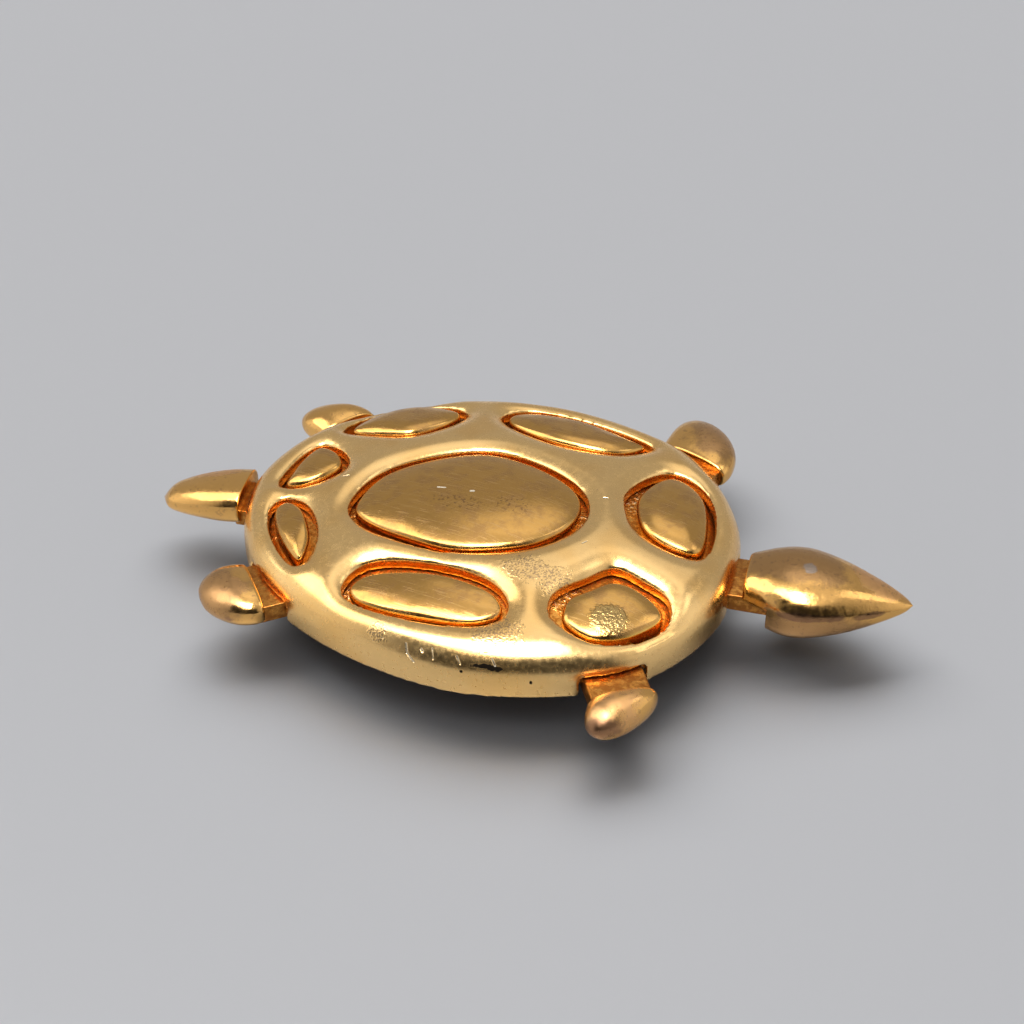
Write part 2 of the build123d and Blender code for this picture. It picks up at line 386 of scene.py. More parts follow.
def wholeShellPlan():
    return shellPlan + [(x, -y) for x, y in reversed(shellPlan[1:-1])]


def ringPiece(name, rings):
    # A tube of quads through closed rings of places, in millimetres, made by extruding a circle
    clearSelection()
    bpy.ops.mesh.primitive_circle_add(vertices=len(rings[0]), radius=mm)
    piece = bpy.context.active_object
    piece.name = name
    piece.data.name = name
    editAll(piece)
    for _ in rings[1:]:
        bpy.ops.mesh.extrude_region_move()
    bpy.ops.object.mode_set(mode="OBJECT")
    count = len(rings[0])
    for k, ring in enumerate(rings):
        for i, place in enumerate(ring):
            piece.data.vertices[k * count + i].co = Vector(place) * mm
    return piece


def closeAndTurnOut(piece):
    # Merges what lies together and points every face outwards
    editAll(piece)
    bpy.ops.mesh.remove_doubles(threshold=mergeWithin)
    bpy.ops.mesh.normals_make_consistent(inside=False)
    bpy.ops.object.mode_set(mode="OBJECT")


def applyModifier(piece, kind, **values):
    select(piece)
    modifier = piece.modifiers.new(kind.lower(), kind)
    for key, value in values.items():
        setattr(modifier, key, value)
    bpy.ops.object.modifier_apply(modifier=modifier.name)


def shoulderColumns(inset, drop, radius):
    # For each place round the inset plan: the place, the inward normal, and the shoulder's centre
    outer = closedCurve(wholeShellPlan(), body["columns"])
    inwards = inwardNormals(outer)
    columns = []
    for place, inward in zip(outer, inwards):
        edge = place + inward * inset
        centre = edge + inward * radius
        slope = -((centre.x - body["domeX"]) / body["domeRadiusLong"] * -inward.x
                  + centre.y / body["domeRadiusWide"] * -inward.y)
        tilt = math.atan(abs(slope))
        centreZ = domeZ(centre.x, centre.y) - drop - radius / math.cos(tilt)
        reach = radius * (1 - math.sin(tilt))
        columns.append((edge, inward, centreZ, reach))
    return columns


def shoulderZ(column, inset, drop, radius, x, y):
    # Height of a shouldered dome at a place that lies inset from its side
    centreZ, reach = column[2:]
    if inset >= reach:
        return domeZ(x, y) - drop
    return centreZ + math.sqrt(max(0.0, radius ** 2 - (radius - inset) ** 2))


def domedRings(inset, drop, radius, low):
    # Rings from the side's lower edge, up over the shoulder, to the middle of the dome
    columns = shoulderColumns(inset, drop, radius)
    rings = [[(*edge, low) for edge, _, _, _ in columns]]
    rings.append([(*edge, (low + centreZ) / 2) for edge, _, centreZ, _ in columns])
    middle = Vector((body["domeX"], 0))
    for angle in body["shoulderAngles"]:
        depth = radius * (1 - math.cos(math.radians(angle)))
        ring = []
        for column in columns:
            edge, inward = column[:2]
            place = edge + inward * depth
            ring.append((*place, shoulderZ(column, depth, drop, radius, *place)))
        rings.append(ring)
    last = [edge + inward * radius for edge, inward, _, _ in columns]
    for step in range(body["roofRings"]):
        share = 1 - step / body["roofRings"]
        ring = []
        for place in last:
            spot = middle + (place - middle) * share
            ring.append((*spot, domeZ(*spot) - drop))
        rings.append(ring)
    rings.append([(*middle, domeZ(*middle) - drop)] * len(columns))
    return rings


def domedBody(name, inset, drop, radius, wall, roof):
    # A closed, hollow, shouldered dome: the outer surface down to the rim and the inner one back up
    outer = domedRings(inset, drop, radius, body["rimZ"])
    innerRadius = max(body["leastInnerRadius"], radius - wall)
    inner = domedRings(inset + wall, drop + roof, innerRadius, body["rimZ"])
    piece = ringPiece(name, list(reversed(outer)) + inner)
    closeAndTurnOut(piece)
    return piece


def prismPiece(name, outline, low, high):
    rings = [[(*place, low) for place in outline], [(*place, high) for place in outline]]
    piece = ringPiece(name, rings)
    editAll(piece)
    bpy.ops.mesh.edge_face_add()
    bpy.ops.mesh.select_all(action="SELECT")
    bpy.ops.mesh.fill_holes(sides=0)
    bpy.ops.mesh.normals_make_consistent(inside=False)
    bpy.ops.object.mode_set(mode="OBJECT")
    return piece


def boxPiece(name, middle, heading, length, width, low, high):
    # A plain block, turned to its heading, used as a cutter or as the start of a tab
    clearSelection()
    bpy.ops.mesh.primitive_cube_add(size=mm, location=(0, 0, 0))
    piece = bpy.context.active_object
    piece.name = name
    editAll(piece)
    bpy.ops.transform.resize(value=(length, width, high - low))
    bpy.ops.object.mode_set(mode="OBJECT")
    piece.rotation_euler = (0, 0, math.radians(heading))
    piece.location = (middle[0] * mm, middle[1] * mm, (low + high) / 2 * mm)
    select(piece)
    bpy.ops.object.transform_apply(location=True, rotation=True, scale=True)
    return piece


# Where each limb's flat back stands (x, y, z in millimetres, heading in degrees), the factors on
# its sway, length and width, its tab's half width, and how far its back is set in
limbPlaces = {
    "head": {"at": (16.3, 0.0, 4.05), "heading": 0, "sway": 1.0, "long": 1.0, "wide": 1.0,
             "tab": 2.1, "tuck": 0.0},
    "tail": {"at": (-21.35, 0.0, 4.45), "heading": 180, "sway": 1.0, "long": 1.0, "wide": 1.0,
             "tab": 1.8, "tuck": 0.0},
    "nearFrontLeg": {"at": (9.95, -13.5, 3.9), "heading": -62, "sway": -1.45, "long": 0.91, "wide": 1.0,
                     "tab": 2.1, "tuck": -0.6},
    "farFrontLeg": {"at": (10.4, 13.35, 3.9), "heading": 67, "sway": 1.5, "long": 1.15, "wide": 1.2,
                    "tab": 2.4, "tuck": 0.9},
    "nearHindLeg": {"at": (-17.4, -9.65, 3.9), "heading": -144, "sway": -0.75, "long": 1.06, "wide": 1.13,
                    "tab": 2.4, "tuck": 0.0},
    "farHindLeg": {"at": (-16.7, 10.35, 3.9), "heading": 139, "sway": 1.3, "long": 1.02, "wide": 0.95,
                   "tab": 2.3, "tuck": 0.0},
}

# Sections from the flat back outwards, in millimetres: out, sway, lift, half width, half height
limbSections = {
    "head": [
        (0.0, 0.0, 0.0, 2.25, 1.75),
        (0.9, 0.0, 0.0, 2.7, 2.0),
        (1.9, 0.0, 0.0, 3.2, 2.25),
        (3.2, 0.0, 0.0, 3.65, 2.4),
        (4.6, 0.05, 0.0, 3.7, 2.35),
        (6.3, 0.05, 0.05, 3.3, 2.05),
        (8.0, 0.1, 0.05, 2.6, 1.65),
        (9.8, 0.15, 0.1, 1.65, 1.05),
        (11.2, 0.2, 0.1, 0.7, 0.45),
        (11.8, 0.2, 0.15, 0.0, 0.0),
    ],
    "tail": [
        (0.0, 0.0, 0.0, 2.3, 1.5),
        (1.6, 0.05, -0.2, 2.3, 1.48),
        (3.3, 0.1, -0.45, 2.05, 1.35),
        (4.9, 0.15, -0.75, 1.65, 1.1),
        (6.05, 0.2, -1.0, 1.1, 0.75),
        (6.75, 0.25, -1.2, 0.0, 0.0),
    ],
    "leg": [
        (0.0, 0.0, 0.0, 2.4, 1.2),
        (0.7, 0.1, 0.0, 2.5, 1.35),
        (1.6, 0.35, 0.0, 2.4, 1.4),
        (2.4, 0.65, -0.05, 2.05, 1.25),
        (3.05, 0.9, -0.1, 1.5, 0.95),
        (3.45, 1.1, -0.15, 0.85, 0.55),
        (3.6, 1.2, -0.15, 0.0, 0.0),
    ],
}
limbMake = {
    "around": 72,
    "steps": 7,
    "backShares": (0.0, 0.25, 0.5, 0.75, 0.9),  # rings on the flat back, in shares of its size
    "backBevel": 0.16,
    "bevelAngles": (0, 22.5, 45, 67.5),
    "backFull": 2.7,  # 2 makes the back an ellipse, more makes it squarer
    "tabReach": 4.4,  # how far a tab runs in under the shell
    "tabOut": 0.5,  # and out into its limb
    "tabThick": 1.4,
    "tabBevel": 0.12,
    "tabBevelSteps": 3,
    "notchSide": 0.3,  # the notch's clearance at each side of the tab
}
headMake = {
    "belly": 0.2,  # how much of its half height moves from below its widest line to above it
    "seat": 1.9,  # how far its back part sits on its tab, up to a step
    "seatShare": 0.12,  # what is left of its depth below the tab's top there
}


def smoothRows(rows):
    # Rows on smooth curves through the table's rows, with their ends kept
    start = [2 * a - b for a, b in zip(rows[0], rows[1])]
    rows = [start, *rows, rows[-1]]
    smooth = []
    for i in range(1, len(rows) - 2):
        for j in range(limbMake["steps"]):
            part = j / limbMake["steps"]
            smooth.append([smoothBetween(*column, part) for column in zip(*rows[i - 1:i + 3])])
    smooth.append(rows[-1])
    return smooth


def limbFrame(name, out, side, up):
    # A place from a limb's flat back: outwards, to the left of its heading, and up
    x, y, z = limbPlaces[name]["at"]
    turn = math.radians(limbPlaces[name]["heading"])
    return (x + out * math.cos(turn) - side * math.sin(turn),
            y + out * math.sin(turn) + side * math.cos(turn), z + up)


def rounded(angle, power):
    # A place on a circle that is fuller towards its corners when the power is below one
    across, above = math.cos(angle), math.sin(angle)
    return math.copysign(abs(across) ** power, across), math.copysign(abs(above) ** power, above)


def limbRings(sections):
    # The flat back with its rounded edge, then smooth sections out to the tip
    bevel = limbMake["backBevel"]
    wide, high = sections[0][3:]
    rings = []
    for share in limbMake["backShares"]:
        rings.append((0.0, 0.0, 0.0, (wide - bevel) * share, (high - bevel) * share))
    for angle in limbMake["bevelAngles"]:
        lean = math.radians(angle)
        depth = bevel * (1 - math.cos(lean))
        edge = bevel * (1 - math.sin(lean))
        rings.append((depth, 0.0, 0.0, wide - edge, high - edge))
    return rings + [row for row in smoothRows(sections) if row[0] > bevel]


def makeLimb(name):
    # A bulb of elliptical sections, from its flat back to its tip; the head's back sits on its tab
    place = limbPlaces[name]
    sections = limbSections.get(name, limbSections["leg"])
    reach = sections[-1][0]
    free = limbRings(sections)
    seated = []
    belly = 0.0
    if name == "head":
        seated = [row for row in free if row[0] <= headMake["seat"]]
        free = free[len(seated) - 1:]
        belly = headMake["belly"]
    tabTop = body["rimZ"] + limbMake["tabThick"] - place["at"][2]
    rings = []
    for k, (out, sway, lift, wide, high) in enumerate(seated + free):
        power = 2 / (limbMake["backFull"] + (2 - limbMake["backFull"]) * out / reach)
        back = place["tuck"] * (1 - out / reach) ** 2
        ring = []
        for i in range(limbMake["around"]):
            across, above = rounded(2 * math.pi * i / limbMake["around"], power)
            side = sway * place["sway"] + wide * place["wide"] * across
            up = lift + high * (above * (1 + math.copysign(belly, above)) - belly)
            if k < len(seated) and up < tabTop:
                up = tabTop + (up - tabTop) * headMake["seatShare"]
            ring.append(limbFrame(name, out * place["long"] - back, side, up))
        rings.append(ring)
    piece = ringPiece(name + "Bulb", rings)
    closeAndTurnOut(piece)
    return piece


def tabBlock(name, side, low, high, label):
    place = limbPlaces[name]
    outer = headMake["seat"] if name == "head" else limbMake["tabOut"]
    length = limbMake["tabReach"] + outer
    middle = limbFrame(name, outer - length / 2, 0, 0)
    return boxPiece(label, middle, place["heading"], length, 2 * (place["tab"] + side), low, high)


def makeTab(name):
    piece = tabBlock(name, 0, body["rimZ"], body["rimZ"] + limbMake["tabThick"], name + "Tab")
    applyModifier(piece, "BEVEL", width=limbMake["tabBevel"] * mm, segments=limbMake["tabBevelSteps"])
    return piece


scuteMake = {
    "around": 128,
    "edge": 0.3,
    "edgeAngles": (0, 15, 30, 45, 60, 75, 90),
    "rings": 22,
    "root": 0.5,  # how deep it stands in the plate
}


def crownZ(crown, middle, place, share):
    # Height of a scute's crown, this share of the way from its middle to its edge
    away = place - middle
    nearness = 0.5 - 0.5 * away.normalized().y if away.length > 0 else 0.5
    drop = crown["far"] + (crown["near"] - crown["far"]) * nearness
    return domeZ(*place) - crown["sink"] - drop * share ** crown["fall"]


def makeScute(name):
    # A column with a softly rounded edge and a crowned top, square to the dome
    outline = closedCurve(scuteOutlines[name], scuteMake["around"])
    inwards = inwardNormals(outline)
    crown = scuteCrowns[name]
    middle = sum(outline, Vector((0, 0))) / len(outline)
    soft = scuteMake["edge"]
    root = body["shellRoof"] + body["gap"] + scuteMake["root"]
    rings = [[(*place, domeZ(*place) - root) for place in outline]]
    for angle in scuteMake["edgeAngles"]:
        lean = math.radians(angle)
        inset = soft * (1 - math.cos(lean))
        under = soft * (1 - math.sin(lean))
        ring = []
        for place, inward in zip(outline, inwards):
            spot = place + inward * inset
            share = 1 - inset / (spot - middle).length
            ring.append((*spot, crownZ(crown, middle, spot, share) - under))
        rings.append(ring)
    inner = [place + inward * soft for place, inward in zip(outline, inwards)]
    for step in range(1, scuteMake["rings"]):
        share = 1 - step / scuteMake["rings"]
        ring = []
        for place in inner:
            spot = middle + (place - middle) * share
            whole = share * (1 - soft / (place - middle).length)
            ring.append((*spot, crownZ(crown, middle, spot, whole)))
        rings.append(ring)
    rings.append([(*middle, crownZ(crown, middle, middle, 0.0))] * len(outline))
    piece = ringPiece(name + "Scute", rings)
    closeAndTurnOut(piece)
    return piece


shellMake = {
    "voxel": 0.15,
    "lipReach": 1.5,  # how far from an opening its rounded lip begins
    "lipDrop": 0.5,  # how much lower the lip's edge lies
    "smoothing": (3, 12),  # rounds of smoothing before and after the lips are lowered
    "smoothFactor": 0.5,
    "cutAround": 96,
    "cutPast": 1.0,  # how far the cutters stand out above the dome and below the rim
    "lipAround": 240,
    "sideKept": 0.5,  # what lies nearer to the outline than this stays as it is
    "snap": 0.14,  # what lies nearer to the dome than this is laid on it
}


def shellCutters():
    cutters = []
    low = body["rimZ"] - shellMake["cutPast"]
    for name, outline in openingOutlines.items():
        curve = closedCurve(outline, shellMake["cutAround"])
        cutters.append(prismPiece(name + "Cut", curve, low, body["domeTopZ"] + shellMake["cutPast"]))
    top = body["rimZ"] + limbMake["tabThick"] + body["gap"]
    for name in limbPlaces:
        cutters.append(tabBlock(name, limbMake["notchSide"], low, top, name + "Notch"))
    return cutters


def openShell(piece, cutters):
    for cutter in cutters:
        applyModifier(piece, "BOOLEAN", operation="DIFFERENCE", object=cutter, solver="EXACT")
        bpy.data.objects.remove(cutter)


def treeOf(places):
    tree = KDTree(len(places))
    for i, place in enumerate(places):
        tree.insert((place[0], place[1], 0), i)
    tree.balance()
    return tree


def lipDrops(place, openings):
    # How far the lips of all the openings near a place lower it
    total = 0.0
    for tree, middle, reach in openings:
        if (place - middle).length > reach:
            continue
        away = tree.find((place.x, place.y, 0))[2]
        if away < shellMake["lipReach"]:
            total += shellMake["lipDrop"] * (1 - away / shellMake["lipReach"]) ** 2
    return total


def softenLips(piece):
    # Lowers the metal round each opening to a wide rounded lip, and lays the dome on its true curve
    openings = []
    for outline in openingOutlines.values():
        curve = closedCurve(outline, shellMake["lipAround"])
        middle = sum(curve, Vector((0, 0))) / len(curve)
        reach = max((place - middle).length for place in curve) + shellMake["lipReach"]
        openings.append((treeOf(curve), middle, reach))
    columns = shoulderColumns(0, 0, body["shoulder"])
    sides = treeOf([column[0] for column in columns])
    roof = body["shellRoof"]
    for vert in piece.data.vertices:
        x, y, z = vert.co / mm
        index = sides.find((x, y, 0))[1]
        edge, inward = columns[index][:2]
        inset = (Vector((x, y)) - edge).dot(inward)
        if inset < shellMake["sideKept"]:
            continue
        top = shoulderZ(columns[index], inset, 0, body["shoulder"], x, y)
        depth = top - z
        if depth < shellMake["snap"]:
            depth = 0.0
        if depth < roof:
            depth += lipDrops(Vector((x, y)), openings) * (1 - depth / roof)
        vert.co.z = (top - depth) * mm


def makeShell():
    piece = domedBody("openworkShell", 0, 0, body["shoulder"], body["shellWall"], body["shellRoof"])
    openShell(piece, shellCutters())
    applyModifier(piece, "REMESH", mode="VOXEL", voxel_size=shellMake["voxel"] * mm, use_smooth_shade=True)
    before, after = shellMake["smoothing"]
    applyModifier(piece, "SMOOTH", factor=shellMake["smoothFactor"], iterations=before)
    softenLips(piece)
    applyModifier(piece, "SMOOTH", factor=shellMake["smoothFactor"], iterations=after)
    return piece


def makePlate():
    # It follows the shell's inside, a gap away
    inset = body["shellWall"] + body["gap"]
    drop = body["shellRoof"] + body["gap"]
    wall = body["plateWall"]
    return domedBody("castPlate", inset, drop, body["shoulder"] - inset, wall, wall)


shell = makeShell()
print("shell made:", len(shell.data.polygons), "faces")

plate = makePlate()
scutes = [makeScute(name) for name in scuteOutlines]
bulbs = [makeLimb(name) for name in limbPlaces]
tabs = [makeTab(name) for name in limbPlaces]
print("plate, scutes, limbs and tabs made")


# Shared effects, as shader node groups in Object coordinates
def newGroup(name, inputs, outputs):
    tree = bpy.data.node_groups.new(name, "ShaderNodeTree")
    for label, kind, value in inputs:
        socket = tree.interface.new_socket(label, in_out="INPUT", socket_type="NodeSocket" + kind)
        if value is not None:
            socket.default_value = value
    for label, kind in outputs:
        tree.interface.new_socket(label, in_out="OUTPUT", socket_type="NodeSocket" + kind)
    return tree, tree.nodes.new("NodeGroupInput"), tree.nodes.new("NodeGroupOutput")


def noiseNode(tree, place, scale, detail, rough):
    node = nodeOf(tree, "ShaderNodeTexNoise")
    node.inputs["Scale"].default_value = scale
    node.inputs["Detail"].default_value = detail
    node.inputs["Roughness"].default_value = rough
    link(tree, place, node.inputs["Vector"])
    return node.outputs["Fac"]


def strongest(tree, masks):
    total = masks[0]
    for mask in masks[1:]:
        total = mathNode(tree, "MAXIMUM", total, mask)
    return total


# Where each kind of mask goes from nothing to full
maskEdges = {
    "spot": (1.05, 0.7),  # in shares of its reach
    "scratch": (1.3, 0.5),  # in shares of its width
    "speck": (0.0, 0.05),  # in the noise's height
    "streak": (0.0, 0.08),
}
# The streaks' noise: how fine it is along each axis, and its scale, detail and roughness
streakFineness = (0.6, 12.0, 3.0)
streakNoise = (1.0, 1.0, 0.5)
speckDetail = 1.0


def spotMaskGroup():
    # A spot of any proportions in millimetres, whose edge is moved by the noise handed in
    tree, start, end = newGroup("spotMask", [
        ("Place", "Vector", None),
        ("Centre", "Vector", (0, 0, 0)),
        ("Reach", "Vector", (1, 1, 1)),
        ("Wander", "Float", 0.0),
    ], [("Mask", "Float")])
    offset = vectorNode(tree, "SUBTRACT", start.outputs["Place"], start.outputs["Centre"])
    shares = vectorNode(tree, "DIVIDE", offset, start.outputs["Reach"])
    far = plus(tree, vectorNode(tree, "LENGTH", shares), start.outputs["Wander"])
    link(tree, softStep(tree, far, *maskEdges["spot"]), end.inputs["Mask"])
    return tree


def scratchMaskGroup():
    # One straight scratch from Start to End, in millimetres
    tree, start, end = newGroup("scratchMask", [
        ("Place", "Vector", None),
        ("Start", "Vector", (0, 0, 0)),
        ("End", "Vector", (1, 0, 0)),
        ("Width", "Float", 0.05),
    ], [("Mask", "Float")])
    along = vectorNode(tree, "SUBTRACT", start.outputs["End"], start.outputs["Start"])
    offset = vectorNode(tree, "SUBTRACT", start.outputs["Place"], start.outputs["Start"])
    part = mathNode(tree, "DIVIDE", vectorNode(tree, "DOT_PRODUCT", offset, along),
                    vectorNode(tree, "DOT_PRODUCT", along, along))
    held = mathNode(tree, "MINIMUM", mathNode(tree, "MAXIMUM", part, 0.0), 1.0)
    away = vectorNode(tree, "SUBTRACT", offset, vectorNode(tree, "SCALE", along, held))
    share = mathNode(tree, "DIVIDE", vectorNode(tree, "LENGTH", away), start.outputs["Width"])
    link(tree, softStep(tree, share, *maskEdges["scratch"]), end.inputs["Mask"])
    return tree


def keptAbove(tree, noise, cover):
    # How far a noise is above the level that leaves about this cover
    return mathNode(tree, "SUBTRACT", noise, mathNode(tree, "SUBTRACT", 1.0, cover))


def speckMaskGroup():
    # Irregular specks, where a noise is above the level that the cover sets
    tree, start, end = newGroup("speckMask", [
        ("Place", "Vector", None),
        ("Scale", "Float", 4.0),
        ("Cover", "Float", 0.4),
    ], [("Mask", "Float")])
    noise = nodeOf(tree, "ShaderNodeTexNoise")
    noise.inputs["Detail"].default_value = speckDetail
    link(tree, start.outputs["Place"], noise.inputs["Vector"])
    link(tree, start.outputs["Scale"], noise.inputs["Scale"])
    above = keptAbove(tree, noise.outputs["Fac"], start.outputs["Cover"])
    link(tree, softStep(tree, above, *maskEdges["speck"]), end.inputs["Mask"])
    return tree


def streakMaskGroup():
    # Fine streaks, long along one direction
    tree, start, end = newGroup("streakMask", [
        ("Place", "Vector", None),
        ("Turn", "Float", 0.0),
        ("Cover", "Float", 0.3),
    ], [("Mask", "Float")])
    turned = nodeOf(tree, "ShaderNodeVectorRotate", rotation_type="Z_AXIS")
    link(tree, start.outputs["Place"], turned.inputs["Vector"])
    link(tree, start.outputs["Turn"], turned.inputs["Angle"])
    drawn = vectorNode(tree, "MULTIPLY", turned.outputs["Vector"], streakFineness)
    above = keptAbove(tree, noiseNode(tree, drawn, *streakNoise), start.outputs["Cover"])
    link(tree, softStep(tree, above, *maskEdges["streak"]), end.inputs["Mask"])
    return tree


groups = {
    "spot": spotMaskGroup(),
    "scratch": scratchMaskGroup(),
    "speck": speckMaskGroup(),
    "streak": streakMaskGroup(),
}


def millimetres(tree):
    # Object coordinates in millimetres
    return vectorNode(tree, "SCALE", tree.nodes.new("ShaderNodeTexCoord").outputs["Object"], 1 / mm)


def effect(tree, kind, place, **values):
    node = nodeOf(tree, "ShaderNodeGroup", node_tree=groups[kind])
    link(tree, place, node.inputs["Place"])
    for key, value in values.items():
        feed(tree, value, node.inputs[key])
    return node.outputs["Mask"]


def wander(tree, noise, amount):
    # A noise as an offset on both sides of zero
    return times(tree, mathNode(tree, "SUBTRACT", noise, 0.5), amount)


def spots(tree, place, rows, edge):
    # The strongest of several spots: centre, half sizes
    return strongest(tree, [effect(tree, "spot", place, Centre=centre, Reach=reach, Wander=edge)
                            for centre, reach in rows])


def scratches(tree, place, rows):
    return strongest(tree, [effect(tree, "scratch", place, Start=one, End=other, Width=width)
                            for one, other, width in rows])


def mixColour(tree, amount, first, second):
    node = nodeOf(tree, "ShaderNodeMix", data_type="RGBA")
    link(tree, amount, node.inputs["Factor"])
    for label, value in (("A", first), ("B", second)):
        feed(tree, (*value, 1) if isinstance(value, tuple) else value, node.inputs[label])
    return node.outputs["Result"]


def layered(tree, colour, look, masks):
    # Lays the look's named colours over the first one in order, each where its mask is
    for name, mask in masks.items():
        if name in look["show"]:
            mask = times(tree, mask, look["show"][name])
        colour = mixColour(tree, mask, colour, look[name])
    return colour


def bumpFrom(tree, heights, strength, distance):
    # Heights in millimetres
    node = nodeOf(tree, "ShaderNodeBump")
    node.inputs["Strength"].default_value = strength
    node.inputs["Distance"].default_value = distance * mm
    link(tree, heights, node.inputs["Height"])
    return node.outputs["Normal"]


def finishMetal(tree, shader, colour, rough, normal):
    link(tree, colour, shader.inputs["Base Color"])
    link(tree, rough, shader.inputs["Roughness"])
    link(tree, normal, shader.inputs["Normal"])
    shader.inputs["Metallic"].default_value = 1.0


domeEdge = 0.12  # over how many millimetres the masks of the lower sides fade in


def belowDome(tree, place, depth):
    # A mask of what lies deeper than this below the shell's dome
    parts = nodeOf(tree, "ShaderNodeSeparateXYZ")
    link(tree, place, parts.inputs["Vector"])
    along = mathNode(tree, "POWER", plus(tree, parts.outputs["X"], -body["domeX"]), 2.0)
    across = mathNode(tree, "POWER", parts.outputs["Y"], 2.0)
    curve = plus(tree, times(tree, along, 0.5 / body["domeRadiusLong"]),
                 times(tree, across, 0.5 / body["domeRadiusWide"]))
    under = mathNode(tree, "SUBTRACT", body["domeTopZ"], plus(tree, curve, parts.outputs["Z"]))
    return softStep(tree, under, depth, depth + domeEdge)


# In each look, a noise is its scale, detail and roughness, a name in From is where a mask or a
# roughness goes from nothing to full, show is how strongly a colour shows, and bump is the
# strength and the distance in millimetres
satinLook = {
    "colour": (0.98, 0.635, 0.255),
    "deep": (0.95, 0.575, 0.20),
    "pit": (0.42, 0.28, 0.16),
    # the openings' walls: a deeper orange that is painted bounce light between the walls and the scutes
    "wall": (1.0, 0.50, 0.10),
    "chip": (0.02, 0.015, 0.01),
    "scratch": (1.0, 0.86, 0.62),
    "show": {"pit": 0.75, "scratch": 0.7},
    "clouds": (0.25, 2.0, 0.5),
    "grain": (7.0, 1.0, 0.5),
    "ragged": (3.0, 2.0, 0.5),
    "deepFrom": (0.4, 0.7),
    "pitFrom": (0.48, 0.62),
    "edges": 1.6,  # how ragged the pits and chips are
    "rarePits": {"Scale": 2.6, "Cover": 0.26},
    "rareShow": 0.5,
    "wallFrom": 0.75,  # how far below the dome the openings' walls begin
    "wallZone": {"Centre": (-2.8, 0.0, 6.0), "Reach": (20.3, 16.6, 100.0), "Wander": 0.12},
    "roughFrom": (0.3, 0.7),
    "roughness": (0.205, 0.28),
    "chipRough": 0.3,
    "pitDepth": 0.45,
    "grainDepth": 0.013,
    "scratchDepth": 0.8,
    "bump": (0.6, 0.1),
}

# Pitted patches on the shell: centre, half sizes
pittedPatches = [
    ((1.5, -12.4, 7.0), (1.6, 1.2, 1.6)),
    ((0.5, -12.9, 6.9), (1.0, 1.2, 1.2)),
    ((1.9, -7.0, 8.1), (1.9, 1.2, 1.5)),
    ((4.0, -7.4, 7.8), (1.4, 1.3, 1.4)),
    ((-7.0, -13.9, 6.2), (0.8, 0.8, 0.8)),
]

# Dark chips on the near rim: centre, half sizes
rimChips = [
    ((0.8, -14.62, 5.5), (0.95, 0.6, 0.2)),
    ((1.5, -14.6, 5.42), (0.55, 0.5, 0.27)),
    ((1.95, -14.55, 5.4), (0.2, 0.3, 0.1)),
    ((-0.65, -15.0, 5.0), (0.14, 0.3, 0.11)),
    ((4.0, -14.38, 4.5), (0.12, 0.3, 0.15)),
]

# Bright scratches on the shell: from, to, width
shellScratches = [
    ((-4.75, -14.25, 5.95), (-4.6, -14.6, 5.45), 0.09),
    ((-4.6, -14.6, 5.45), (-4.05, -14.82, 4.95), 0.08),
    ((-2.85, -14.35, 6.05), (-2.7, -14.75, 5.45), 0.06),
    ((-1.1, -14.55, 5.9), (-0.8, -14.75, 5.45), 0.08),
    ((1.3, -14.3, 5.95), (1.55, -14.5, 5.6), 0.08),
    ((-3.6, -14.4, 5.85), (-3.5, -14.5, 5.75), 0.1),
    ((-8.0, -13.8, 5.9), (-7.7, -13.85, 5.9), 0.09),
    ((-6.7, -14.0, 5.9), (-6.5, -14.05, 5.85), 0.1),
    ((5.35, 1.7, 8.27), (5.65, 1.75, 8.25), 0.07),
    ((-13.7, -0.1, 7.9), (-13.3, 0.0, 7.95), 0.07),
    ((4.1, -3.4, 8.3), (4.3, -3.2, 8.3), 0.05),
    ((5.0, -3.6, 8.2), (5.25, -3.3, 8.2), 0.05),
    ((-15.2, -0.4, 7.4), (-14.4, -0.35, 7.6), 0.05),
]


def makeSatin():
    material, tree, shader = newMaterial("satinGold")
    look = satinLook
    place = millimetres(tree)
    clouds, grain, ragged = (noiseNode(tree, place, *look[name]) for name in ("clouds", "grain", "ragged"))
    edges = wander(tree, ragged, look["edges"])
    zone = spots(tree, place, pittedPatches, edges)
    chips = spots(tree, place, rimChips, edges)
    lines = scratches(tree, place, shellScratches)
    rare = times(tree, effect(tree, "speck", place, **look["rarePits"]), look["rareShow"])
    pits = strongest(tree, [times(tree, softStep(tree, grain, *look["pitFrom"]), zone), rare])
    # painted bounce light: the walls below the lips get the deeper orange
    inside = effect(tree, "spot", place, **look["wallZone"])
    paintedWallBounce = times(tree, belowDome(tree, place, look["wallFrom"]), inside)
    colour = mixColour(tree, softStep(tree, clouds, *look["deepFrom"]), look["colour"], look["deep"])
    colour = layered(tree, colour, look, {"pit": pits, "wall": paintedWallBounce, "chip": chips, "scratch": lines})
    rough = softStep(tree, ragged, *look["roughFrom"], *look["roughness"])
    rough = plus(tree, rough, times(tree, chips, look["chipRough"]))
    coarse = plus(tree, times(tree, zone, look["pitDepth"]), look["grainDepth"])
    height = plus(tree, times(tree, grain, coarse), times(tree, lines, -look["scratchDepth"]))
    finishMetal(tree, shader, colour, rough, bumpFrom(tree, height, *look["bump"]))
    return material


